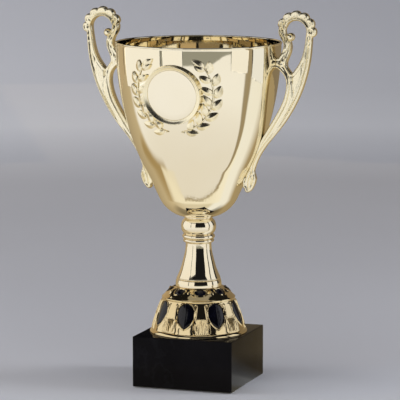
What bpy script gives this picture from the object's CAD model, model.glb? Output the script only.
from math import cos, pi, radians, sin, sqrt, tan

import bmesh
import bpy
import numpy as np
import openvdb
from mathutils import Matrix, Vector


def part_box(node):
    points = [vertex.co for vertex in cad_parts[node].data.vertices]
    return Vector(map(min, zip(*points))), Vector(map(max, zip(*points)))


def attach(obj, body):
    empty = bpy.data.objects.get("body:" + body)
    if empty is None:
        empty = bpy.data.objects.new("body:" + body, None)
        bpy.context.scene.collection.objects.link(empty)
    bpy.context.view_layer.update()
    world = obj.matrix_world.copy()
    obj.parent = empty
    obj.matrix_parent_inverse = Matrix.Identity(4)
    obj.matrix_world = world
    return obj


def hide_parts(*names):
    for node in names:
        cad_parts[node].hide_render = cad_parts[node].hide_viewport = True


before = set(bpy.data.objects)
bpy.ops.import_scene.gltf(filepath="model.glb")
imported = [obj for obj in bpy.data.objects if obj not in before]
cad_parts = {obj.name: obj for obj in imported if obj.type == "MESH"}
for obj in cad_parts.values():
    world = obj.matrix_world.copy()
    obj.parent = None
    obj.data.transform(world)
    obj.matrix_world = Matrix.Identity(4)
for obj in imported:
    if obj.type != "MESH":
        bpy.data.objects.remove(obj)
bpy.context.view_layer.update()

# A gold cup trophy. Shapes are worked out in millimetres, +Z up with the wreath on -Y,
# and scaled to metres when a mesh is made. Profiles are (radius, height).
MM = 0.001
BODY = "root"
# points closer than this many metres are one point
SAME_SPOT = 0.00001


def node_box(node):
    """Lowest and highest corners of a CAD node in millimetres."""
    low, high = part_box(node)
    return np.array(low) / MM, np.array(high) / MM


BLOCK_LOW, BLOCK_HIGH = node_box("marble_base")
RISER_LOW, RISER_HIGH = node_box("riser_shell")
CONE_LOW, CONE_HIGH = node_box("stem_cone")
COLLAR_LOW, COLLAR_HIGH = node_box("stem_collar")
KNOB_LOW, KNOB_HIGH = node_box("stem_knob")
LIP_LOW, LIP_HIGH = node_box("bowl_lip")
BOWL_LOW, BOWL_HIGH = node_box("bowl")
HANDLE_LOW, HANDLE_HIGH = node_box("handle_right")

# ------------------------------------------------------------------ mesh tools


def spline(points, count):
    """Natural cubic spline through points, as `count` rows spread evenly along its chords."""
    points = np.array(points, float)
    spans = np.hypot(*np.diff(points[:, :2], axis=0).T)
    knots = np.concatenate([[0], np.cumsum(spans)])
    size = len(points)
    matrix, right = np.eye(size), np.zeros_like(points)
    for i in range(1, size - 1):
        before, after = spans[i - 1], spans[i]
        matrix[i, i - 1:i + 2] = before, 2 * (before + after), after
        right[i] = 6 * ((points[i + 1] - points[i]) / after - (points[i] - points[i - 1]) / before)
    bend = np.linalg.solve(matrix, right)
    at = np.linspace(0, knots[-1], count)
    i = np.clip(np.searchsorted(knots, at) - 1, 0, size - 2)
    span, left = spans[i][:, None], (at - knots[i])[:, None]
    rest = span - left
    curved = (bend[i] * rest ** 3 + bend[i + 1] * left ** 3) / (6 * span)
    from_before = (points[i] / span - bend[i] * span / 6) * rest
    return curved + from_before + (points[i + 1] / span - bend[i + 1] * span / 6) * left


def arc(centre, radius, start, end, count):
    """Points on a circle from one angle to another, in degrees."""
    turn = np.radians(np.linspace(start, end, count))
    return np.column_stack([centre[0] + radius * np.cos(turn), centre[1] + radius * np.sin(turn)])


def beside(curve, gap):
    """A curve moved to its right by gap, which is outwards on a rising profile."""
    along = np.gradient(np.asarray(curve, float), axis=0)
    along /= np.linalg.norm(along, axis=1)[:, None]
    return curve + gap * np.column_stack([along[:, 1], -along[:, 0]])


def smoothstep(value, low, high):
    """0 below low, 1 above high, and a smooth rise between them."""
    t = np.clip((value - low) / (high - low), 0, 1)
    return t * t * (3 - 2 * t)


def add_mesh(name, points, faces, crease=35):
    """Smooth-shaded object from points in millimetres, with edges sharper than `crease` kept sharp."""
    mesh = bpy.data.meshes.new(name)
    mesh.from_pydata((np.asarray(points) * MM).tolist(), [], faces)
    mesh.validate()
    mesh.shade_smooth()
    mesh.set_sharp_from_angle(angle=radians(crease))
    piece = bpy.data.objects.new(name, mesh)
    bpy.context.scene.collection.objects.link(piece)
    return piece


def grid_faces(rows, columns, wrap):
    """Quads between neighbouring rows of points, closed round each row where wrap is true."""
    last = columns if wrap else columns - 1
    return [
        (r * columns + c, r * columns + (c + 1) % columns,
         (r + 1) * columns + (c + 1) % columns, (r + 1) * columns + c)
        for r in range(rows - 1) for c in range(last)
    ]


def cap_faces(first, last, rows, steps):
    """Fans from two middle points that close the first and the last ring of a turned grid."""
    top = (rows - 1) * steps
    faces = [(first, (c + 1) % steps, c) for c in range(steps)]
    return faces + [(last, top + c, top + (c + 1) % steps) for c in range(steps)]


def bridge_faces(rows, steps):
    """Quads from the last ring of a turned grid back to its first."""
    last = (rows - 1) * steps
    return [(last + c, last + (c + 1) % steps, (c + 1) % steps, c) for c in range(steps)]


def join_parts(parts):
    """Points and faces of several parts as one list of each."""
    points, faces = [], []
    for part_points, part_faces in parts:
        offset = len(points)
        points.extend(part_points)
        faces.extend(tuple(offset + i for i in face) for face in part_faces)
    return points, faces


def lathe(name, profile, steps=192, crease=35):
    """Closed turned piece from a profile that starts and ends on the axis."""
    profile = np.asarray(profile, float)
    ring = profile[1:-1]
    turn = np.arange(steps) * 2 * pi / steps
    points = np.column_stack([
        np.outer(ring[:, 0], np.cos(turn)).ravel(),
        np.outer(ring[:, 0], np.sin(turn)).ravel(),
        np.repeat(ring[:, 1], steps),
    ])
    faces = grid_faces(len(ring), steps, True) + cap_faces(len(points), len(points) + 1, len(ring), steps)
    points = np.vstack([points, [0, 0, profile[0, 1]], [0, 0, profile[-1, 1]]])
    return add_mesh(name, points, faces, crease)


def finish_piece(piece, material, slot, *nodes):
    """Gives a piece its material and slot, seats it on the body and hides what it stands for."""
    piece.data.materials.clear()
    piece.data.materials.append(material)
    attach(piece, BODY)
    if nodes:
        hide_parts(*nodes)
    return piece


def tidy_mesh(piece):
    """Merges doubled points and turns every face outwards."""
    shape = bmesh.new()
    shape.from_mesh(piece.data)
    bmesh.ops.remove_doubles(shape, verts=shape.verts, dist=SAME_SPOT)
    bmesh.ops.recalc_face_normals(shape, faces=shape.faces)
    shape.to_mesh(piece.data)
    shape.free()


def apply_modifiers(piece):
    """Bakes a piece's modifiers into its mesh."""
    graph = bpy.context.evaluated_depsgraph_get()
    mesh = bpy.data.meshes.new_from_object(piece.evaluated_get(graph))
    piece.modifiers.clear()
    piece.data = mesh
    return piece


# ------------------------------------------------------------------ materials


class Recipe:
    """A node material under construction."""

    def __init__(self, name):
        self.material = bpy.data.materials.new(name)
        self.material.use_nodes = True
        self.tree = self.material.node_tree
        self.shader = self.tree.nodes["Principled BSDF"]
        self.place = self.node("ShaderNodeTexCoord").outputs["Object"]

    def node(self, kind, **values):
        node = self.tree.nodes.new(kind)
        for key, value in values.items():
            setattr(node, key, value)
        return node

    def link(self, source, target):
        self.tree.links.new(source, target)

    def set(self, **values):
        for key, value in values.items():
            self.shader.inputs[key.replace("_", " ")].default_value = value

    def noise(self, scale, detail=3.0, roughness=0.55, stretch=None):
        """Noise value over the object, with `scale` features per metre."""
        texture = self.node("ShaderNodeTexNoise")
        texture.inputs["Scale"].default_value = scale
        texture.inputs["Detail"].default_value = detail
        texture.inputs["Roughness"].default_value = roughness
        source = self.place
        if stretch:
            mapping = self.node("ShaderNodeMapping")
            mapping.inputs["Scale"].default_value = stretch
            self.link(self.place, mapping.inputs["Vector"])
            source = mapping.outputs["Vector"]
        self.link(source, texture.inputs["Vector"])
        return texture.outputs["Fac"]

    def ramp(self, value, stops):
        """Value mapped through (position, colour) stops."""
        node = self.node("ShaderNodeValToRGB")
        ramp = node.color_ramp
        while len(ramp.elements) < len(stops):
            ramp.elements.new(0.5)
        for element, (position, colour) in zip(ramp.elements, stops):
            element.position = position
            element.color = (*colour, 1)
        self.link(value, node.inputs["Fac"])
        return node.outputs["Color"]

    def paint(self, value, *stops):
        """Base colour from a value through (position, colour) stops."""
        self.link(self.ramp(value, stops), self.shader.inputs["Base Color"])

    def roughen(self, value, low, high):
        """Roughness between low and high from a value of 0 to 1."""
        self.link(self.scaled(value, low, high), self.shader.inputs["Roughness"])

    def scaled(self, value, low, high):
        """Value from 0..1 mapped to low..high."""
        node = self.node("ShaderNodeMapRange")
        node.inputs["To Min"].default_value = low
        node.inputs["To Max"].default_value = high
        self.link(value, node.inputs["Value"])
        return node.outputs["Result"]

    def bump(self, value, depth, strength=1.0):
        """Bump of a given depth in metres."""
        node = self.node("ShaderNodeBump")
        node.inputs["Strength"].default_value = strength
        node.inputs["Distance"].default_value = depth
        self.link(value, node.inputs["Height"])
        self.link(node.outputs["Normal"], self.shader.inputs["Normal"])


def gold(name, light, deep, smooth, rough, waviness):
    """Bright gold plating: slight colour drift, faint smears and a trace of orange peel."""
    recipe = Recipe(name)
    recipe.set(Metallic=1.0, IOR=1.45)
    recipe.paint(recipe.noise(14, 2), (0.3, deep), (0.7, light))
    recipe.roughen(recipe.noise(45, 5, 0.7, (1, 1, 0.35)), smooth, rough)
    recipe.bump(recipe.noise(160, 2), waviness)
    return recipe.material


def black_gloss():
    """Black enamel-like plastic with a cold tint and soft moulding waves."""
    recipe = Recipe("black_gloss")
    recipe.set(IOR=1.38, Coat_Weight=0.12, Coat_Roughness=0.06)
    recipe.paint(recipe.noise(120, 3), (0.3, (0.002, 0.002, 0.004)), (0.8, (0.005, 0.005, 0.012)))
    recipe.roughen(recipe.noise(260, 4), 0.08, 0.2)
    recipe.bump(recipe.noise(420, 2), 0.00004)
    return recipe.material


def marble():
    """Polished black marble with hairline grey veins and fine specks."""
    recipe = Recipe("black_marble")
    recipe.set(IOR=1.14)
    cloud = recipe.noise(22, 6, 0.62)
    body = recipe.ramp(cloud, [(0.35, (0.004, 0.0035, 0.0045)), (0.75, (0.009, 0.008, 0.010))])
    vein_noise = recipe.noise(9, 8, 0.6, (1, 1.4, 0.7))
    vein = recipe.ramp(vein_noise, [(0.485, (0, 0, 0)), (0.5, (1, 1, 1)), (0.515, (0, 0, 0))])
    mix = recipe.node("ShaderNodeMix", data_type="RGBA")
    mix.inputs["B"].default_value = (0.03, 0.03, 0.034, 1)
    faint = recipe.node("ShaderNodeMath", operation="MULTIPLY")
    faint.inputs[1].default_value = 0.14
    recipe.link(vein, faint.inputs[0])
    recipe.link(faint.outputs[0], mix.inputs["Factor"])
    recipe.link(body, mix.inputs["A"])
    recipe.link(mix.outputs["Result"], recipe.shader.inputs["Base Color"])
    recipe.roughen(recipe.noise(300, 4), 0.05, 0.14)
    recipe.bump(recipe.noise(500, 3), 0.00001)
    return recipe.material


def steel():
    """Zinc-plated steel, a little mottled."""
    recipe = Recipe("zinc_steel")
    recipe.set(Metallic=1.0)
    mottle = recipe.noise(420, 4, 0.7)
    recipe.paint(mottle, (0.3, (0.42, 0.43, 0.44)), (0.7, (0.62, 0.63, 0.63)))
    recipe.roughen(mottle, 0.22, 0.42)
    recipe.bump(mottle, 0.00002)
    return recipe.material


def foam():
    """Dark soft foam with open pores."""
    recipe = Recipe("pad_foam")
    pores = recipe.noise(2600, 2, 0.6)
    recipe.paint(pores, (0.35, (0.008, 0.008, 0.008)), (0.65, (0.035, 0.035, 0.036)))
    recipe.roughen(pores, 0.8, 1.0)
    recipe.bump(pores, 0.0001)
    return recipe.material


GOLD_METAL = gold("gold_bowl", (0.94, 0.87, 0.70), (0.92, 0.84, 0.65), 0.02, 0.06, 0.00001)
GOLD_PLASTIC = gold("gold_moulded", (0.91, 0.83, 0.66), (0.88, 0.78, 0.58), 0.03, 0.09, 0.00002)
GOLD_RISER = gold("gold_riser", (0.82, 0.69, 0.45), (0.75, 0.60, 0.34), 0.04, 0.11, 0.00002)
GOLD_CAST = gold("gold_cast", (0.99, 0.92, 0.72), (0.96, 0.87, 0.62), 0.2, 0.32, 0.000012)
GOLD_DISC = gold("gold_disc", (0.95, 0.88, 0.72), (0.93, 0.85, 0.67), 0.05, 0.1, 0.00001)
BLACK = black_gloss()
MARBLE = marble()
STEEL = steel()
FOAM = foam()

# ------------------------------------------------------------------ block and hardware

BLOCK_EDGE = 0.9


def make_block():
    """Block with softly rounded polished edges."""
    shape = bmesh.new()
    bmesh.ops.create_cube(shape, size=1)
    for vertex in shape.verts:
        for axis in range(3):
            side = BLOCK_HIGH if vertex.co[axis] > 0 else BLOCK_LOW
            vertex.co[axis] = side[axis] * MM
    bmesh.ops.bevel(shape, geom=shape.edges[:], offset=BLOCK_EDGE * MM, segments=4,
                    profile=0.6, affect="EDGES")
    mesh = bpy.data.meshes.new("block")
    shape.to_mesh(mesh)
    shape.free()
    mesh.shade_smooth()
    mesh.set_sharp_from_angle(angle=radians(40))
    block = bpy.data.objects.new("block", mesh)
    bpy.context.scene.collection.objects.link(block)
    finish_piece(block, MARBLE, "marble", "marble_base")


def finish_hardware():
    """CAD nodes whose shape is right keep it and get their own materials."""
    steel_nodes = ["base_washer", "base_nut", "tie_rod", "bowl_washer", "dome_nut", "handle_upper_screws",
                   "handle_lower_screws", "handle_saddles", "push_nuts"]
    for node, material in [("foot_pads", FOAM)] + [(node, STEEL) for node in steel_nodes]:
        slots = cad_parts[node].data.materials
        slots.clear()
        slots.append(material)


make_block()
finish_hardware()

# ------------------------------------------------------------------ stem

CONE_SKIRT_TOP = 6.5
CONE_CURVE = [(21.3, 102.4), (17.8, 110.5), (14.8, 121.0), (12.8, 130.0), (12.4, 136.5)]
COLLAR_RINGS = [(139.1, 1.8, 15.0), (143.1, 2.2, 15.8)]


def finish_turned(node, profile):
    """Turned gold piece that stands for one node of the stem."""
    finish_piece(lathe(node + "_skin", profile), GOLD_PLASTIC, "gold_plastic", node)


def make_cone():
    """Waisted cone: rounded skirt, groove, long concave flank."""
    low, skirt = CONE_LOW[2], CONE_LOW[2] + CONE_SKIRT_TOP
    radius = CONE_HIGH[0]
    profile = [(0, low), (radius - 0.5, low)]
    profile += arc((radius - 0.5, low + 0.5), 0.5, -90, 0, 5)[1:].tolist()
    profile += spline([(radius, low + 1), (radius - 0.1, low + 3.5), (radius - 0.6, skirt - 0.5)], 8).tolist()
    profile += arc((radius - 1.5, skirt - 0.5), 0.9, 0, 80, 5).tolist()
    profile += [(radius - 1.55, skirt + 0.7)]
    profile += arc((radius - 1.6, skirt + 1.2), 0.6, -50, 60, 5).tolist()
    profile += spline(CONE_CURVE, 60)[1:].tolist() + [(0, CONE_HIGH[2])]
    finish_turned("stem_cone", profile)


def make_collar():
    """Collar with two rounded rings and a narrow bead at the top."""
    profile = [(0, COLLAR_LOW[2]), (12.5, COLLAR_LOW[2]), (13.2, COLLAR_LOW[2] + 0.6)]
    for height, bead, reach in COLLAR_RINGS:
        profile += arc((reach - bead, height), bead, -75, 75, 15).tolist()
    profile += [(14.0, COLLAR_HIGH[2] - 0.2), (13.8, COLLAR_HIGH[2]), (0, COLLAR_HIGH[2])]
    finish_turned("stem_collar", profile)


def make_knob():
    """Flattened ball."""
    low, high, reach = KNOB_LOW[2], KNOB_HIGH[2], KNOB_HIGH[0]
    flank = [(14.2, low), (reach - 0.5, low + 3.6), (reach, low + 7.9), (reach - 1.0, low + 12.2),
             (12.9, high)]
    profile = [(0, low)] + spline(flank, 48).tolist() + [(0, high)]
    finish_turned("stem_knob", profile)


def make_lip():
    """Thin round-edged plate under the bowl."""
    low, high, reach = LIP_LOW[2], LIP_HIGH[2], LIP_HIGH[0]
    edge = arc((reach - 1, (low + high) / 2), 1, -90, 90, 15)
    profile = [(0, low)] + edge.tolist() + [(0, high)]
    finish_turned("bowl_lip", profile)


make_cone()
make_collar()
make_knob()
make_lip()

# ------------------------------------------------------------------ bowl

BOWL_WALL = 0.8
BEAD = 1.0
BOWL_NECK, BOWL_NECK_LEAN = (79.4, 329.0), 89.2
BOWL_JOINTS = [(71.05, 262.2), (52.5, 211.3), (37.9, 180.8), (17.5, 163.0)]


def bowl_side():
    """Outer line of the bowl's wall, tangent arcs from the neck down, listed from the foot up."""
    start, heading = np.array(BOWL_NECK), radians(BOWL_NECK_LEAN + 180)
    line = [start]
    for joint in BOWL_JOINTS:
        chord = np.array(joint) - start
        swing = np.arctan2(chord[1], chord[0]) - heading
        swing = (swing + pi) % (2 * pi) - pi
        for share in np.linspace(0, 1, 41)[1:]:
            part = share * swing
            reach = np.hypot(*chord) * (sin(part) / sin(swing) if abs(swing) > 1e-6 else share)
            line.append(start + reach * np.array([cos(heading + part), sin(heading + part)]))
        start, heading = line[-1], heading + 2 * swing
    return np.array(line[::-1])


BOWL_SIDE = bowl_side()


def bowl_radius(height):
    """Outer radius of the bowl at a height."""
    return np.interp(height, BOWL_SIDE[:, 1], BOWL_SIDE[:, 0])


def make_bowl():
    """Thin spun bowl, open at the top, with a rolled rim."""
    rim = (BOWL_HIGH[1] - BEAD - 0.02, BOWL_HIGH[2] - BEAD)
    inner = beside(BOWL_SIDE, -BOWL_WALL)[::-1]
    bead = arc(rim, BEAD, -60, 235, 24)
    profile = [(0, BOWL_LOW[2])] + BOWL_SIDE.tolist() + bead.tolist() + inner[1:].tolist()
    profile += [(0, inner[-1][1])]
    finish_piece(lathe("bowl_skin", profile, 288), GOLD_METAL, "gold_metal", "bowl")


make_bowl()

# ------------------------------------------------------------------ riser

PANELS = 8
PANEL_STEP = 2 * pi / PANELS
PANEL_COLUMNS = 84
RISER_FOOT, SHOULDER_TOP = RISER_LOW[2], RISER_HIGH[2]
TIER_TOP = 82.5
TIER = spline([(46.7, RISER_FOOT + 1.6), (43.2, 60.5), (40.0, 70.0), (35.0, TIER_TOP)], 62)
SHOULDER = spline([(34.4, 85.0), (31.5, 88.4), (27.2, 92.0), (23.0, SHOULDER_TOP)], 24)
LEAF_OUTLINE = spline([(0.0, 58.8), (5.2, 63.2), (8.3, 71.0), (6.2, 79.2), (0.0, 82.4)], 60)
BUD_OUTLINE = spline([(0.0, 24.4), (5.6, 26.4), (5.0, 29.2), (0.0, 30.6)], 40)
RISER_WALL, LINER_GAP, LINER_WALL = 3.0, 0.2, 1.2
# flange and the hollow above it: (radius, height over the block)
FLANGE = [(44.5, 0.0), (47.1, 0.0), (47.3, 0.3), (47.25, 0.9), (46.9, 1.7), (46.2, 2.7), (45.5, 3.3),
          (45.1, 3.45)]
LEDGE = [(35.2, 82.9), (35.5, 83.5), (35.5, 84.2), (35.1, 84.8)]
RISER_MOUTH = [(19.0, SHOULDER_TOP), (19.0, SHOULDER_TOP - 2.5)]
PANEL_FOOT, PANEL_TOP = 53.3, 81.5
RIB_FOOT, RIB_TOP, RIBS_PER_PANEL = 54.3, 69.5, 7
LEAF_POCKET, BUD_POCKET = 1.7, 1.4
STAR_ORBIT = 29.3


def distance_to(outline, across, along):
    """Distance from points to a symmetrical outline, negative inside it."""
    flat = np.column_stack([np.abs(across).ravel(), along.ravel()])
    gap = np.full(len(flat), 99.0)
    for spot in outline:
        gap = np.minimum(gap, np.hypot(flat[:, 0] - spot[0], flat[:, 1] - spot[1]))
    half = np.interp(flat[:, 1], outline[:, 1], outline[:, 0], left=0, right=0)
    inside = flat[:, 0] < half
    return np.where(inside, -gap, gap).reshape(across.shape)


def rib_half_width(height):
    """Half width of a ribbed panel, wide at the foot and narrow at the ledge."""
    return np.interp(height, [52, 66, 80], [7.8, 6.5, 4.6])


def tier_relief(turn, radius, height):
    """How far the tier stands out beyond its plain form, for turns measured from a leaf."""
    across = radius * turn
    beside_rib = radius * (PANEL_STEP / 2 - np.abs(turn))
    half = rib_half_width(height)
    top = smoothstep(height, PANEL_TOP, PANEL_TOP - 1.5) * smoothstep(height, PANEL_FOOT, PANEL_FOOT + 0.6)
    edge = beside_rib - half
    panel = smoothstep(edge, 0.35, -0.35) * top
    border = smoothstep(edge, -1.5, -0.8)
    ribs = 0.5 + 0.5 * np.cos(2 * pi * beside_rib / (2 * half - 2.2) * RIBS_PER_PANEL)
    ribbed = smoothstep(height, RIB_TOP, RIB_TOP - 2.5) * smoothstep(height, RIB_FOOT, RIB_FOOT + 0.9)
    inner = 0.15 + 0.55 * ribs * ribbed
    relief = panel * (0.9 * border + inner * (1 - border) + 0.1)
    groove = np.exp(-((edge - 0.9) / 0.55) ** 2) * smoothstep(height, 53, 56) * top
    leaf = distance_to(LEAF_OUTLINE, across, height)
    relief = relief - 0.9 * groove + 0.75 * np.exp(-((leaf - 0.75) / 0.5) ** 2)
    return relief - LEAF_POCKET * smoothstep(leaf, 0.15, -0.25)


def shoulder_relief(turn, radius, height):
    """Pockets for the buds and a four-pointed boss between each two of them."""
    bud_turn = np.abs(turn) - PANEL_STEP / 2
    bud = distance_to(BUD_OUTLINE, radius * bud_turn, radius)
    across, along = np.abs(radius * turn), np.abs(radius - STAR_ORBIT) * 1.2
    star = np.exp(-(np.hypot(across, along) / 1.9) ** 2)
    points = np.exp(-across / 2.6 - along / 0.7) + np.exp(-across / 0.7 - along / 2.6)
    relief = 1.1 * star + 0.9 * points * (np.hypot(across, along) < 5)
    return relief + 0.5 * np.exp(-((bud - 0.5) / 0.4) ** 2) - BUD_POCKET * smoothstep(bud, 0.1, -0.25)


def turn_from_leaf(turn):
    """Turn folded onto one panel, from -half a step to +half a step about the leaf in front."""
    return (turn + pi / 2 + PANEL_STEP / 2) % PANEL_STEP - PANEL_STEP / 2


def make_riser():
    """Gold riser: flange, leaf and ribbed panels, bright ledge and shoulder."""
    columns = PANELS * PANEL_COLUMNS
    turn = np.arange(columns) * 2 * pi / columns
    folded = turn_from_leaf(turn)
    rows = []

    def ring(radius, height):
        heights = np.broadcast_to(height, columns)
        rows.append(np.column_stack([radius * np.cos(turn), radius * np.sin(turn), heights]))

    for radius, height in FLANGE:
        ring(radius, RISER_FOOT + height)
    hollow_top = RISER_FOOT + FLANGE[-1][1] + 0.2
    for radius, height in TIER[TIER[:, 1] > hollow_top]:
        relief = tier_relief(folded, np.full(columns, radius), np.full(columns, height))
        sunk = 0.7 * smoothstep(height, 60.0, 54.0)
        ring(radius - sunk + relief * smoothstep(height, TIER_TOP, TIER_TOP - 1.2), height)
    for radius, height in LEDGE:
        ring(radius, height)
    for radius, height in SHOULDER:
        relief = shoulder_relief(folded, np.full(columns, radius), np.full(columns, height))
        fade = smoothstep(height, 85.0, 85.8) * smoothstep(height, SHOULDER_TOP - 0.1, SHOULDER_TOP - 0.9)
        ring(radius, height + relief * fade * 0.8)
    for radius, height in RISER_MOUTH:
        ring(radius, height)
    for radius, height in beside(TIER, -RISER_WALL)[::-8]:
        ring(radius, height)
    faces = grid_faces(len(rows), columns, True) + bridge_faces(len(rows), columns)
    skin = add_mesh("riser_skin", np.vstack(rows), faces, 50)
    finish_piece(skin, GOLD_RISER, "gold_plastic", "riser_shell")


def two_sided_faces(rows, columns):
    """Faces of a front grid and of a back grid whose points follow it."""
    faces = grid_faces(rows, columns, False)
    offset = rows * columns
    return faces + [tuple(offset + i for i in face[::-1]) for face in faces], offset


def leaf_patch(outline, middle_turn, place, rise, columns=24):
    """Domed leaf with a midrib, side veins and toothed edges; `place` maps (across, along, up)."""
    rows = len(outline)
    across = np.linspace(-1, 1, columns)
    front, back = [], []
    low, high = outline[0, 1], outline[-1, 1]
    for half, along in outline:
        t = (along - low) / (high - low)
        teeth = 1 + 0.05 * (((t * 7) % 1.0) - 0.5)
        ends = sqrt(max(0.0, 1 - (2 * t - 1) ** 2))
        for s in across:
            dome = (1 - s * s) * (0.35 + 0.65 * ends)
            rib = 0.22 * np.exp(-(s * max(half, 0.01) / 0.5) ** 2)
            vein = -0.1 * max(0.0, cos(2 * pi * (t * 7 - abs(s) * 1.2))) * (1 - abs(s)) * (abs(s) > 0.12)
            up = -0.6 + rise * dome + (rib + vein) * ends
            front.append(place(middle_turn, s * half * teeth, along, up))
            back.append(place(middle_turn, s * half * teeth * 0.98, along, -1.5))
    faces, offset = two_sided_faces(rows, columns)
    near = [r * columns for r in range(rows)]
    far = [r + columns - 1 for r in near]
    faces += [(a, b, offset + b, offset + a) for a, b in zip(near, near[1:])]
    faces += [(b, a, offset + a, offset + b) for a, b in zip(far, far[1:])]
    return front + back, faces


def on_tier(middle, across, along, up):
    """Point standing `up` from the riser's tier, `across` mm round from a leaf's middle."""
    radius = np.interp(along, TIER[:, 1], TIER[:, 0])
    angle = middle + across / radius
    return ((radius + up) * cos(angle), (radius + up) * sin(angle), along + 0.3 * up)


def on_shoulder(middle, across, along, up):
    """Point above the shoulder at a distance `along` out from the axis."""
    height = np.interp(-along, -SHOULDER[:, 0], SHOULDER[:, 1])
    angle = middle + across / along
    return ((along + 0.4 * up) * cos(angle), (along + 0.4 * up) * sin(angle), height + 0.9 * up)


def make_liner():
    """Black liner: leaves, shoulder buds and the thin shell behind them."""
    steps = 96
    turn = np.arange(steps) * 2 * pi / steps
    outer = beside(TIER, -RISER_WALL - LINER_GAP)[::8]
    profile = np.vstack([outer, beside(outer, -LINER_WALL)[::-1]])
    spots = []
    for radius, height in profile:
        spots.extend(zip(radius * np.cos(turn), radius * np.sin(turn), np.full(steps, height)))
    parts = []
    for i in range(PANELS):
        middle = -pi / 2 + i * PANEL_STEP
        parts.append(leaf_patch(LEAF_OUTLINE[::2], middle, on_tier, 1.5))
        parts.append(leaf_patch(BUD_OUTLINE[::2], middle + PANEL_STEP / 2, on_shoulder, 1.5, 16))
    parts.append((spots, grid_faces(len(profile), steps, True) + bridge_faces(len(profile), steps)))
    piece = add_mesh("liner_leaves", *join_parts(parts), 60)
    tidy_mesh(piece)
    finish_piece(piece, BLACK, "black_plastic", "riser_liner")


make_riser()
make_liner()

# ------------------------------------------------------------------ wreath

SEAT_HEIGHT = 286.0
SEAT_FACE = 79.4
SEAT_TILT = radians(9.4)
SEAT_OUT = np.array([0, -cos(SEAT_TILT), -sin(SEAT_TILT)])
SEAT_UP = np.array([0, -sin(SEAT_TILT), cos(SEAT_TILT)])
SEAT_MIDDLE = np.array([0, -SEAT_FACE, SEAT_HEIGHT])
SEAT_STEPS = 144
SEAT_RIM, DISH_RADIUS, EMBLEM_RADIUS = 27.9, 27.6, 24.2
DISH_DEPTH, EMBLEM_DEPTH = 2.0, 2.6
BRANCH_RADIUS, BRANCH_SPREAD, BRANCH_START, BRANCH_END = 35.4, 4.8, 12.0, 134.0
LEAF_PAIRS = 7
# heading of the inner leaves for a turn along the branch, in degrees
INNER_TURNS, INNER_HEADINGS = [20, 50, 65, 86, 141], [68, 100, 122, 156, 166]


def on_bowl(x, z, up):
    """Point `up` mm out from the bowl's front, seen at (x, z)."""
    reach = bowl_radius(z) + up
    return (x, -sqrt(max(reach * reach - x * x, 0.0)), z)


def branch_spot(turn):
    """Point (x, z) on the right branch for a turn in degrees from straight down."""
    reach = BRANCH_RADIUS + BRANCH_SPREAD * (turn / BRANCH_END) ** 2
    return reach * sin(radians(turn)), SEAT_HEIGHT - reach * cos(radians(turn))


def laurel_leaf(x, z, heading, length, width, bend, side, lift):
    """Keeled leaf lying on the bowl: two facets meeting at a midrib, tip a little raised."""
    rows, columns = 15, 11
    front, back = [], []
    for i in range(rows):
        t = i / (rows - 1)
        half = 0.5 * width * (sin(pi * min(1.0, t ** 0.85)) ** 0.75 if 0 < t < 1 else 0.02)
        turn = radians(heading + bend * (t - 0.3))
        spine = (x + length * t * cos(turn), z + length * t * sin(turn))
        for j in range(columns):
            s = 2 * j / (columns - 1) - 1
            px = spine[0] - s * half * sin(turn)
            pz = spine[1] + s * half * cos(turn)
            keel = half * 0.57 * (1 - abs(s)) ** 0.95
            up = lift + keel + 0.9 * t * (1 - 0.4 * t)
            front.append(on_bowl(side * px, pz, up))
            back.append(on_bowl(side * px, pz, -0.15))
    faces, offset = two_sided_faces(rows, columns)
    rim = [r * columns for r in range(rows)] + [(rows - 1) * columns + c for c in range(1, columns)]
    rim += [r * columns + columns - 1 for r in range(rows - 2, -1, -1)] + list(range(columns - 2, 0, -1))
    faces += [(a, b, offset + b, offset + a) for a, b in zip(rim, rim[1:] + rim[:1])]
    return front + back, faces


def stalk(spots, radius, side):
    """Round stalk along spots (x, z), its ends rounded off."""
    count, sides = len(spots), 10
    points, faces = [], []
    along = np.gradient(np.array(spots), axis=0)
    along /= np.linalg.norm(along, axis=1)[:, None]
    for i, (x, z) in enumerate(spots):
        t = i / (count - 1)
        size = radius * (0.35 + 0.65 * min(1.0, 6 * t, 6 * (1 - t)) ** 0.5)
        for j in range(sides):
            angle = 2 * pi * j / sides
            px, pz = x - along[i][1] * size * cos(angle), z + along[i][0] * size * cos(angle)
            points.append(on_bowl(side * px, pz, 0.55 + size * sin(angle)))
    faces += grid_faces(count, sides, True)
    faces.append(tuple(range(sides))[::-1])
    faces.append(tuple((count - 1) * sides + j for j in range(sides)))
    return points, faces


def seat_spot(across, above, depth):
    """Point at (across, above) on the seat's face and `depth` behind it."""
    return tuple(SEAT_MIDDLE + np.array([across, 0, 0]) + SEAT_UP * above - SEAT_OUT * depth)


def wall_depth(across, above):
    """How far behind the seat's face the bowl's wall lies, for points on the face."""
    depth = np.zeros_like(across)
    for _ in range(12):
        y = -SEAT_FACE + SEAT_UP[1] * above - SEAT_OUT[1] * depth
        z = SEAT_HEIGHT + SEAT_UP[2] * above - SEAT_OUT[2] * depth
        depth = depth + (-y - np.sqrt(bowl_radius(z) ** 2 - across ** 2)) * cos(SEAT_TILT)
    return depth


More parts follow.
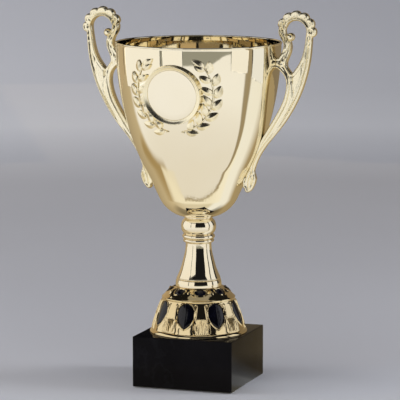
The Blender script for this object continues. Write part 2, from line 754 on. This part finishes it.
def seat():
    """Dished emblem seat whose flank runs down to the bowl all round and whose back follows it."""
    turn = np.arange(SEAT_STEPS) * 2 * pi / SEAT_STEPS
    points = []

    def ring(radius, depth):
        depths = np.broadcast_to(depth, SEAT_STEPS)
        points.extend(seat_spot(radius * cos(a), radius * sin(a), d) for a, d in zip(turn, depths))

    def wall(radius):
        return wall_depth(radius * np.cos(turn), radius * np.sin(turn))

    dish = [(12.0, EMBLEM_DEPTH), (EMBLEM_RADIUS - 0.05, EMBLEM_DEPTH), (EMBLEM_RADIUS, DISH_DEPTH + 0.3),
            (24.3, DISH_DEPTH), (24.8, 1.82), (25.6, 1.36), (26.4, 0.82), (27.2, 0.2), (DISH_RADIUS, 0.0),
            (SEAT_RIM - 0.1, 0.02), (SEAT_RIM + 0.1, 0.2)]
    for radius, depth in dish:
        ring(radius, depth)
    for share in (0.25, 0.5, 0.8, 1.0):
        radius = SEAT_RIM + 0.15 + 0.6 * share ** 2
        ring(radius, 0.25 + (wall(radius) - 0.15) * share)
    for radius in (26.0, 18.0, 9.0):
        ring(radius, wall(radius) - 0.1)
    rows = len(points) // SEAT_STEPS
    faces = grid_faces(rows, SEAT_STEPS, True) + cap_faces(len(points), len(points) + 1, rows, SEAT_STEPS)
    back = float(wall_depth(np.zeros(1), np.zeros(1))[0]) - 0.1
    return points + [seat_spot(0, 0, EMBLEM_DEPTH), seat_spot(0, 0, back)], faces


def make_wreath():
    """Both branches and the seat, as one cast piece."""
    parts = [seat()]
    step = (BRANCH_END - BRANCH_START) / LEAF_PAIRS
    for side in (1, -1):
        spots = [branch_spot(t) for t in np.linspace(BRANCH_START - 5, BRANCH_END - 2, 40)]
        parts.append(stalk([(7.0, 251.6), (9.0, 250.4)] + spots[1:], 0.7, side))
        for i in range(LEAF_PAIRS):
            turn = BRANCH_START + step * (i + 0.35)
            x, z = branch_spot(turn)
            size = 0.82 + 0.18 * sin(pi * (i + 1) / (LEAF_PAIRS + 1))
            heading = turn - 44 - 14 * float(smoothstep(turn, 80, 110))
            parts.append(laurel_leaf(x, z, heading, 12.8 * size, 7.2 * size, 22, side, 0.7))
            x, z = branch_spot(turn + 5)
            heading = np.interp(turn, INNER_TURNS, INNER_HEADINGS)
            parts.append(laurel_leaf(x, z, heading, 11.6 * size, 6.6 * size, -8, side, 2.2))
        x, z = branch_spot(BRANCH_END - 4)
        parts.append(laurel_leaf(x, z, BRANCH_END + 4, 13.5, 7.2, 8, side, 1.2))
    piece = add_mesh("laurel_wreath", *join_parts(parts), 30)
    tidy_mesh(piece)
    piece.data.set_sharp_from_angle(angle=radians(30))
    finish_piece(piece, GOLD_CAST, "gold_cast", "wreath")


def make_disc():
    """Blank disc with a fine turned bevel."""
    rings = [(8.0, DISH_DEPTH), (18.0, DISH_DEPTH), (23.7, DISH_DEPTH), (23.95, DISH_DEPTH + 0.05),
             (24.08, DISH_DEPTH + 0.2), (24.1, EMBLEM_DEPTH - 0.05), (12.0, EMBLEM_DEPTH - 0.02)]
    turn = np.arange(SEAT_STEPS) * 2 * pi / SEAT_STEPS
    points = [seat_spot(radius * cos(a), radius * sin(a), depth) for radius, depth in rings for a in turn]
    faces = grid_faces(len(rings), SEAT_STEPS, True)
    faces += cap_faces(len(points), len(points) + 1, len(rings), SEAT_STEPS)
    points += [seat_spot(0, 0, rings[0][1]), seat_spot(0, 0, rings[-1][1])]
    finish_piece(add_mesh("blank_disc", points, faces, 40), GOLD_DISC, "gold_disc", "centre_disc")


make_wreath()
make_disc()

# ------------------------------------------------------------------ handles

VOXEL = 0.45
FIELD_MARGIN, FIELD_BAND = 1.5, 3.0
# radius that rounds the handle's edges
HANDLE_EDGE = 2.6
CREST = np.array([98.0, 343.0])
CREST_RADIUS, LOOP_RADIUS = 15.8, 10.2
LOBE_STEP = radians(30.5)
LOBES = [radians(152) - LOBE_STEP * i for i in range(6)]
LOBE_ORBIT, LOBE_RADIUS = 14.2, 5.6
VOLUTE, VOLUTE_RADIUS = np.array([92.3, 337.6]), 4.0
# outlines of the right handle and of the opening in it, as (x, z)
ARM_OUTER = [(56.8, 209), (61, 220), (83, 250.5), (105, 290), (113.2, 330), (113.6, 339)]
CURL_EDGE = [(80.4, 345), (81.0, 340), (85.6, 331), (84.6, 324), (81, 318)]
ARM_INNER = [(80, 307.6), (87, 300), (87.8, 285), (79.5, 265), (62, 236.5), (52, 216)]
FOOT_EDGE = [(46, 203), (45.5, 194), (49.5, 187.4), (56, 193), (58.4, 201)]
EYE_RIGHT = [(107.8, 340), (105.6, 325), (99.5, 310), (94, 303.4)]
EYE_LEFT = [(94, 303.4), (89, 311.5), (92.4, 322), (93, 332), (88, 341)]
BOSS = [(40, 317.5), (40, 308)]


def through_arc(start, top, end, count=40):
    """Points of the circle through three points, from start over top to end."""
    (ax, ay), (bx, by), (cx, cy) = start, top, end
    d = 2 * (ax * (by - cy) + bx * (cy - ay) + cx * (ay - by))
    a2, b2, c2 = ax * ax + ay * ay, bx * bx + by * by, cx * cx + cy * cy
    middle = ((a2 * (by - cy) + b2 * (cy - ay) + c2 * (ay - by)) / d,
              (a2 * (cx - bx) + b2 * (ax - cx) + c2 * (bx - ax)) / d)
    turns = [np.degrees(np.arctan2(y - middle[1], x - middle[0])) for x, y in (start, top, end)]
    first, last = turns[0], turns[2]
    if not min(first, last) < turns[1] < max(first, last):
        last += 360 if last < first else -360
    return arc(middle, np.hypot(ax - middle[0], ay - middle[1]), first, last, count)


def polygon_distance(outline, x, z):
    """Signed distance of grid points to a closed polygon, negative inside."""
    outline = np.asarray(outline, float)
    gap, inside = np.full(x.shape, 1e9), np.zeros(x.shape, bool)
    for (ax, az), (bx, bz) in zip(outline, np.roll(outline, -1, axis=0)):
        ex, ez = bx - ax, bz - az
        length = ex * ex + ez * ez
        if length == 0:
            continue
        t = np.clip(((x - ax) * ex + (z - az) * ez) / length, 0, 1)
        gap = np.minimum(gap, (x - ax - t * ex) ** 2 + (z - az - t * ez) ** 2)
        crosses = (az > z) != (bz > z)
        where = ax + ex * (z - az) / (ez if ez else 1e-9)
        inside ^= crosses & (x < where)
    gap = np.sqrt(gap)
    return np.where(inside, -gap, gap)


def stroke(points, x, z):
    """Distance of grid points to a smooth line through points, and how far along it they are."""
    line = spline(points, 60)
    gap, share = np.full(x.shape, 1e9), np.zeros(x.shape)
    for i, (px, pz) in enumerate(line):
        d = np.hypot(x - px, z - pz)
        share = np.where(d < gap, i / (len(line) - 1), share)
        gap = np.minimum(gap, d)
    return gap, share


# points, depth, half width
HANDLE_GROOVES = [
    ([(88, 311), (92, 306.5), (94, 303), (94.2, 294)], 1.3, 0.8),
    ([(99.5, 312), (96.5, 307.5), (94.5, 303)], 1.0, 0.7),
    ([(81.2, 349), (82.0, 344), (84.8, 338), (88, 331)], 1.7, 0.62),
    ([(83.4, 352.4), (84.2, 346), (86.6, 340), (89.6, 333)], 1.7, 0.62),
    ([(85.9, 354.6), (86.4, 349), (88.4, 343.6)], 1.5, 0.62),
    ([(87.2, 342.6), (90.6, 343.4), (94.4, 342.2), (97.2, 338.6)], 1.4, 0.8),
    ([(94.6, 296), (95.6, 280), (88, 262), (74, 240), (62, 221), (56, 208)], 0.8, 0.8),
    ([(103.6, 318), (104.6, 300), (97, 279), (84, 256)], 0.55, 0.7),
    ([(109.4, 333), (108.6, 318), (103.4, 298), (92, 272)], 0.5, 0.6),
    ([(91, 291), (88.4, 276), (79, 258), (68, 240)], 0.45, 0.6),
    ([(59, 213), (56.4, 205), (54.4, 198), (54.2, 192)], 1.1, 0.7),
    ([(56, 213), (52.6, 205), (50.4, 198), (50.4, 191)], 1.0, 0.7),
    ([(53, 212), (49.4, 205), (47.6, 198)], 0.8, 0.6),
    ([(84.6, 322), (89, 325.6), (91.6, 331)], 0.6, 0.6),
    ([(80, 309.6), (85, 309.6), (88.6, 306), (91.4, 299)], 0.7, 0.7),
]
# x, z, height, radius
HANDLE_BUMPS = [
    (110, 347.2, 0.9, 1.5), (112, 341.4, 0.9, 1.4), (112.6, 335.6, 0.8, 1.4), (111.4, 330.2, 0.6, 1.3),
    (85.6, 314.6, 1.0, 1.7), (83.2, 310.8, 0.9, 1.6), (88.4, 317.4, 0.7, 1.4), (94.2, 308.6, 0.5, 1.2),
    (48.6, 206.4, 0.6, 1.6), (86.2, 326.6, 0.6, 1.5),
]
# x, z, radius
TIP_NOTCHES = [(59.4, 197.2, 1.3), (56.4, 190.4, 1.2), (46.6, 190.6, 1.0)]


def handle_field(x, z):
    """Distance inside the handle's outline and its half thickness over the (x, z) grid."""
    crest_top = CREST + (0, CREST_RADIUS)
    outline = [*spline(ARM_OUTER, 70), *through_arc(ARM_OUTER[-1], crest_top, CURL_EDGE[0]),
               *spline(CURL_EDGE, 30), *BOSS, *spline(ARM_INNER, 70), *spline(FOOT_EDGE, 40)]
    away = polygon_distance(outline, x, z)
    for turn in LOBES:
        lobe = CREST + LOBE_ORBIT * np.array([cos(turn), sin(turn)])
        away = np.minimum(away, np.hypot(x - lobe[0], z - lobe[1]) - LOBE_RADIUS)
    eye = [*spline(EYE_RIGHT, 40), *spline(EYE_LEFT, 40),
           *through_arc(EYE_LEFT[-1], CREST + (0, LOOP_RADIUS), EYE_RIGHT[0])]
    away = np.maximum(away, -polygon_distance(eye, x, z))
    away = np.minimum(away, np.hypot(x - VOLUTE[0], z - VOLUTE[1]) - VOLUTE_RADIUS)
    for nx, nz, size in TIP_NOTCHES:
        away = np.maximum(away, size - np.hypot(x - nx, z - nz))

    thick = np.interp(z, [186, 200, 216, 240, 290, 318, 345], [3.6, 4.6, 4.0, 4.2, 5.0, 5.0, 4.2])
    thick = thick + 0.55 * np.exp(-((away + 1.3) / 0.7) ** 2) - 0.45 * np.exp(-((away + 3.0) / 0.8) ** 2)
    reach = np.hypot(x - CREST[0], z - CREST[1])
    turn = np.arctan2(z - CREST[1], x - CREST[0])
    loop = 0.9 * np.exp(-((reach - 11.7) / 0.9) ** 2) - 0.7 * np.exp(-((reach - 13.5) / 0.6) ** 2)
    thick = thick + smoothstep(z, 338, 344) * loop
    for angle in LOBES:
        lobe = CREST + (LOBE_ORBIT + 0.6) * np.array([cos(angle), sin(angle)])
        d = np.hypot(x - lobe[0], z - lobe[1])
        thick = thick + 0.5 * np.sqrt(np.clip(1 - (d / 4.8) ** 2, 0, 1)) - 0.6 * np.exp(-(d / 1.0) ** 2)
        between = (turn - angle + LOBE_STEP / 2 + pi) % (2 * pi) - pi
        line = np.exp(-(between * reach / 0.55) ** 2) * smoothstep(reach, 12.6, 14.0)
        thick = thick - 0.8 * line * (z > CREST[1] - 6)
    for points, depth, width in HANDLE_GROOVES:
        gap, share = stroke(points, x, z)
        fade = smoothstep(share, 0.0, 0.12) * smoothstep(share, 1.0, 0.88)
        thick = thick - depth * np.exp(-(gap / width) ** 2) * (0.3 + 0.7 * fade)
    for bx, bz, height, size in HANDLE_BUMPS:
        thick = thick + height * np.exp(-(((x - bx) ** 2 + (z - bz) ** 2) / size ** 2))
    ball = np.hypot(x - VOLUTE[0], z - VOLUTE[1])
    dome = 2.0 + np.sqrt(np.clip(VOLUTE_RADIUS ** 2 - 0.1 - ball ** 2, 0, None))
    thick = np.where(ball < VOLUTE_RADIUS, dome, thick)
    cast = np.sin(x * 2.1 + 1.3 * np.sin(z * 0.9)) * np.sin(z * 1.7 + np.sin(x * 1.3))
    return away, thick + 0.035 * cast


def make_handles():
    """Two cast handles, the left one the mirror image of the right."""
    low, high = HANDLE_LOW - FIELD_MARGIN, HANDLE_HIGH + FIELD_MARGIN
    x = np.arange(low[0] - FIELD_MARGIN, high[0], VOXEL)
    y = np.arange(low[1], high[1], VOXEL)
    z = np.arange(low[2], high[2], VOXEL)
    away, thick = handle_field(*np.meshgrid(x, z, indexing="ij"))
    thick = np.clip(thick, 1.5, HANDLE_HIGH[1] - 0.05)
    side = (away + HANDLE_EDGE)[:, None, :]
    front = np.abs(y)[None, :, None] - (thick - HANDLE_EDGE)[:, None, :]
    rounded = np.hypot(np.maximum(side, 0), np.maximum(front, 0)) - HANDLE_EDGE
    field = np.minimum(np.maximum(side, front), 0) + rounded
    wall = (bowl_radius(z) + 0.05)[None, None, :] - np.hypot(x[:, None, None], y[None, :, None])
    field = np.clip(np.maximum(field, wall), -FIELD_BAND, FIELD_BAND)
    grid = openvdb.FloatGrid(FIELD_BAND)
    grid.copyFromArray(field.astype(np.float32))
    points, quads = grid.convertToQuads(0.0)
    points = points * VOXEL + np.array([x[0], y[0], z[0]])
    for side_name, sign in (("right", 1), ("left", -1)):
        order = quads[:, ::sign]
        piece = add_mesh("cast_handle_" + side_name, points * np.array([sign, 1, 1]), order.tolist(), 60)
        tidy_mesh(piece)
        smooth = piece.modifiers.new("soften", "SMOOTH")
        smooth.factor, smooth.iterations = 0.5, 4
        apply_modifiers(piece)
        piece.data.set_sharp_from_angle(angle=radians(70))
        finish_piece(piece, GOLD_CAST, "gold_cast", "handle_" + side_name)


make_handles()

# ------------------------------------------------------------------ stage, lights, camera

CAMERA_AZIMUTH = 18.85
CAMERA_ELEVATION = 7.92
CAMERA_DISTANCE = 2.633
CAMERA_TARGET_HEIGHT = 0.17785
CAMERA_TARGET_SIDE = 0.00133
CAMERA_VIEW_ANGLE = 8.38
# level directions in the camera's view: to its right, and from the trophy towards it
VIEW_RIGHT = (cos(radians(CAMERA_AZIMUTH)), sin(radians(CAMERA_AZIMUTH)), 0)
VIEW_AHEAD = (sin(radians(CAMERA_AZIMUTH)), -cos(radians(CAMERA_AZIMUTH)), 0)


def view_direction(azimuth, elevation):
    """Unit vector from the trophy at an angle to the right of its front and above the floor."""
    a, e = radians(azimuth), radians(elevation)
    return Vector((sin(a) * cos(e), -cos(a) * cos(e), sin(e)))


def make_camera():
    """Long lens a little above the rim and to the right."""
    data = bpy.data.cameras.new("camera")
    data.sensor_width = 36
    data.lens = 18 / tan(radians(CAMERA_VIEW_ANGLE / 2))
    data.clip_end = 20
    camera = bpy.data.objects.new("camera", data)
    bpy.context.scene.collection.objects.link(camera)
    target = Vector((0, 0, CAMERA_TARGET_HEIGHT)) + Vector(VIEW_RIGHT) * CAMERA_TARGET_SIDE
    away = view_direction(CAMERA_AZIMUTH, CAMERA_ELEVATION)
    camera.location = target + away * CAMERA_DISTANCE
    camera.rotation_euler = away.to_track_quat("Z", "Y").to_euler()
    bpy.context.scene.camera = camera


def softbox(name, azimuth, elevation, distance, width, height, radiance, tint):
    """Rectangular light of a given radiance, azimuth measured from the camera's."""
    data = bpy.data.lights.new(name, "AREA")
    data.shape = "RECTANGLE"
    data.size, data.size_y = width, height
    data.energy = radiance * pi * width * height
    data.color = tint
    light = bpy.data.objects.new(name, data)
    bpy.context.scene.collection.objects.link(light)
    away = view_direction(CAMERA_AZIMUTH + azimuth, elevation)
    light.location = Vector((0, 0, LIGHT_AIM)) + away * distance
    light.rotation_euler = away.to_track_quat("Z", "Y").to_euler()
    light.visible_camera = False
    return light


def polar_sheet(name, radii, heights, steps):
    """Sheet of rings round the origin, closed in the middle."""
    turn = np.arange(steps) * 2 * pi / steps
    points = [(0, 0, heights[0] / MM)]
    for radius, height in zip(radii, heights):
        ring = np.column_stack([np.cos(turn), np.sin(turn)]) * radius / MM
        points += [(x, y, height / MM) for x, y in ring]
    faces = [tuple(1 + i for i in face) for face in grid_faces(len(radii), steps, True)]
    faces += [(0, 1 + (c + 1) % steps, 1 + c) for c in range(steps)]
    return add_mesh(name, points, faces, 180)


STAGE_FLOOR, STAGE_CURVE, STAGE_TOP = 3.0, 1.6, 5.0
# share of GLOW_REACH metres from the trophy, and the paper's own glow there
GLOW_REACH = 5.0
GLOW = [(0.05, (0.025, 0.026, 0.03)), (0.3, (0.10, 0.10, 0.105)), (0.45, (0.235, 0.235, 0.243)),
        (0.65, (0.21, 0.21, 0.22)), (0.95, (0.105, 0.105, 0.11))]


def make_stage():
    """Pale floor that curves up into a round wall far behind, a little brighter to the left."""
    bend = np.linspace(0, pi / 2, 24)
    radii = [0.2, 0.6, 1.2, 2.0, *(STAGE_FLOOR + STAGE_CURVE * np.sin(bend)), STAGE_FLOOR + STAGE_CURVE]
    heights = [0, 0, 0, 0, *(STAGE_CURVE * (1 - np.cos(bend))), STAGE_TOP]
    stage = polar_sheet("floor_and_backdrop", radii, heights, 96)
    recipe = Recipe("pale_paper")
    recipe.paint(recipe.noise(1.5, 2), (0.3, (0.60, 0.61, 0.66)), (0.7, (0.63, 0.64, 0.69)))
    recipe.set(Roughness=0.8)
    reach = recipe.node("ShaderNodeVectorMath", operation="LENGTH")
    recipe.link(recipe.place, reach.inputs[0])
    share = recipe.node("ShaderNodeMath", operation="MULTIPLY")
    share.inputs[1].default_value = 1 / GLOW_REACH
    recipe.link(reach.outputs["Value"], share.inputs[0])
    glow = recipe.ramp(share.outputs[0], GLOW)
    aside = recipe.node("ShaderNodeVectorMath", operation="DOT_PRODUCT")
    aside.inputs[1].default_value = VIEW_RIGHT
    recipe.link(recipe.place, aside.inputs[0])
    shift = recipe.node("ShaderNodeMath", operation="MULTIPLY_ADD")
    shift.inputs[1].default_value, shift.inputs[2].default_value = -0.8, 0.5
    recipe.link(aside.outputs["Value"], shift.inputs[0])
    recipe.link(recipe.scaled(shift.outputs[0], 0.95, 1.5), recipe.shader.inputs["Emission Strength"])
    recipe.link(glow, recipe.shader.inputs["Emission Color"])
    stage.data.materials.append(recipe.material)
    stage.visible_glossy = False


WARM = (1.0, 0.98, 0.94)
COOL = (0.97, 0.98, 1.0)
BROWN = (1.0, 0.78, 0.48)

# lines on the studio table, as (right, towards the camera) in metres: the seam between two
# papers, the soft far edge that it runs into, and a brown shade beside that
SEAM = [(-0.123, 0.12), (-0.09, 0.138), (-0.052, 0.15), (-0.01, 0.1555), (0.035, 0.1535), (0.08, 0.1435),
        (0.129, 0.122), (0.17, 0.098), (0.205, 0.083), (0.28, 0.082), (0.36, 0.1), (0.47, 0.135),
        (0.61, 0.19), (0.8, 0.25), (1.5, 0.42), (4.5, 1.2)]
SHEET_EDGE = [(-1.3, -0.6), (-0.76, -0.33), (-0.5, -0.17), (-0.35, -0.08), (-0.26, 0.02), (-0.19, 0.085)]
SHADE = [(-0.25, 0.01), (-0.29, -0.05), (-0.35, -0.13), (-0.43, -0.24)]
SHEET_NEAR, SHEET_FAR = np.array((0.82, 0.79, 0.74)), np.array((0.945, 0.94, 0.93))
ROOM, CREAM = (0.32, 0.32, 0.28), (0.96, 0.91, 0.76)
SHADE_TINT, SEAM_TINT = (0.34, 0.23, 0.08), (0.25, 0.18, 0.07)
# tint of the table round the sheet, by degrees to the right of the camera
TABLE_TINTS = [(-180, (0.34, 0.26, 0.14)), (-100, (0.60, 0.50, 0.33)), (-60, (0.72, 0.65, 0.50)),
               (45, (0.72, 0.66, 0.50)), (62, (0.93, 0.93, 0.90)), (100, (0.92, 0.91, 0.86)),
               (120, (0.40, 0.31, 0.17)), (180, (0.34, 0.26, 0.14))]
# between these radii the table sheet has its finest rings
SEAM_NEAR, SEAM_FAR = 0.14, 0.2

# height that every light is turned to
LIGHT_AIM = 0.2
# name, azimuth, elevation, distance, width, height, radiance, tint
UPRIGHT_PANELS = [
    ("left_wall", -88, 4, 1.1, 1.5, 1.3, 0.98, WARM),
    ("left_front", -36, 6, 1.3, 0.66, 1.3, 0.98, WARM),
    ("right_front", 58.3, 6, 1.3, 0.62, 1.3, 0.96, WARM),
    ("right_wall", 93.6, 4, 1.2, 0.62, 1.3, 0.92, COOL),
    ("back_left", -150, 4, 1.6, 1.3, 1.4, 0.5, BROWN),
    ("back_right", 150, 4, 1.6, 1.8, 1.4, 0.24, BROWN),
]
MIRRORED_ROOF = ("mirrored_roof", 0, 88, 1.3, 1.2, 1.2, 0.35, WARM)
PLAIN_LIGHTS = [
    ("roof", -50, 64, 1.6, 1.3, 1.3, 1.1, COOL),
    ("left_fill", -84, 20, 1.5, 0.7, 0.6, 4.4, COOL),
    ("right_fill", 84, 18, 1.5, 0.5, 0.5, 13, COOL),
]
ROOM_DARK = (0.012, 0.012, 0.013, 1)


def line_distance(line, across, ahead):
    """Distance of points from a polyline."""
    gap = np.full(across.shape, 1e9)
    for (ax, ay), (bx, by) in zip(line, line[1:]):
        ex, ey = bx - ax, by - ay
        t = np.clip(((across - ax) * ex + (ahead - ay) * ey) / (ex * ex + ey * ey), 0, 1)
        gap = np.minimum(gap, np.hypot(across - ax - t * ex, ahead - ay - t * ey))
    return gap


def blend(colour, tint, share):
    """Colours moved towards a tint by shares from 0 to 1."""
    return colour + (np.asarray(tint) - colour) * share[..., None]


def behind_panels(reach, side):
    """Which points of the table lie behind an upright panel, so that no two glows add up."""
    hidden = np.zeros(reach.shape, bool)
    for _, azimuth, elevation, distance, width, *_ in UPRIGHT_PANELS:
        lean = radians(elevation)
        foot = (distance + LIGHT_AIM * sin(lean)) / cos(lean)
        half = np.degrees(np.arctan2(width / 2, foot)) + 0.3
        swing = (side - azimuth + 180) % 360 - 180
        hidden |= (np.abs(swing) < half) & (reach * np.cos(np.radians(swing)) > foot)
    return hidden


def table_glow(across, ahead):
    """Brightness of the table as the metal mirrors it."""
    reach, side = np.hypot(across, ahead), np.degrees(np.arctan2(across, ahead))
    turns, tints = [turn for turn, _ in TABLE_TINTS], np.array([tint for _, tint in TABLE_TINTS])
    colour = np.stack([np.interp(side, turns, tints[:, k]) for k in range(3)], axis=-1)
    seam = [tuple(spot) for spot in spline(SEAM, 160)]
    edge = np.array(SHEET_EDGE + seam)
    soft = 0.001 + 0.09 * reach * smoothstep(across, -0.12, -0.2)
    inside = smoothstep(ahead - np.interp(across, edge[:, 0], edge[:, 1]), -soft, soft)
    sheet = blend(SHEET_NEAR, SHEET_FAR, smoothstep(reach, 0.2, 0.8))
    colour = blend(colour, sheet, inside)
    far_end = 1.47 + 0.9 * smoothstep(side, 12, 45)
    colour = blend(colour, ROOM, smoothstep(reach, far_end, far_end + 0.12) * (np.abs(side) < 60))
    shade = 1 - smoothstep(line_distance(SHADE, across, ahead), 0.01, 0.01 + 0.2 * reach)
    colour = blend(colour, SHADE_TINT, 0.75 * shade)
    cream = 1 - smoothstep(line_distance(SHEET_EDGE[-2:] + seam, across, ahead), 0.015, 0.05)
    colour = blend(colour, CREAM, 0.85 * cream * (1 - inside))
    width = 0.0013 + 0.15 * np.maximum(reach - 0.178, 0)
    line = 1 - smoothstep(line_distance(seam, across, ahead), 0.5 * width, width)
    colour = blend(colour, SEAM_TINT, 0.85 * line)
    behind = smoothstep(np.abs(side), 85, 100) * smoothstep(reach, 0.2, 0.1)
    return colour * ((1 - 0.5 * behind) * ~behind_panels(reach, side))[..., None]


def make_table_glow():
    """Sheet just over the floor that only reflections see, finest where the seam passes the stem."""
    radii = np.concatenate([np.geomspace(0.05, SEAM_NEAR - 0.001, 36), np.linspace(SEAM_NEAR, SEAM_FAR, 80),
                            np.geomspace(SEAM_FAR + 0.003, 7.0, 190)])
    sheet = polar_sheet("table_glow", radii, np.full(len(radii), 0.001), 720)
    spots = np.array([v.co[:] for v in sheet.data.vertices])
    colour = table_glow(spots @ VIEW_RIGHT, spots @ VIEW_AHEAD)
    layer = sheet.data.color_attributes.new("glow", "FLOAT_COLOR", "POINT")
    layer.data.foreach_set("color", np.column_stack([colour, np.ones(len(colour))]).ravel())
    recipe = Recipe("table_glow")
    glow = recipe.node("ShaderNodeAttribute", attribute_name="glow")
    recipe.set(Roughness=1.0, Base_Color=(0, 0, 0, 1), Specular_IOR_Level=0, Emission_Strength=1.0)
    recipe.link(glow.outputs["Color"], recipe.shader.inputs["Emission Color"])
    sheet.data.materials.append(recipe.material)
    sheet.visible_camera = sheet.visible_diffuse = sheet.visible_shadow = False
    sheet.data.shade_flat()


def make_lights():
    """A light tent: panels that only reflections show, and plain lights that they don't."""
    for panel in [*UPRIGHT_PANELS, MIRRORED_ROOF]:
        softbox(*panel).visible_diffuse = False
    for light in PLAIN_LIGHTS:
        softbox(*light).visible_glossy = False
    world = bpy.data.worlds.new("room")
    world.use_nodes = True
    world.node_tree.nodes["Background"].inputs["Color"].default_value = ROOM_DARK
    bpy.context.scene.world = world


make_camera()
make_stage()
make_table_glow()
make_lights()
bpy.context.scene.view_settings.view_transform = "Standard"
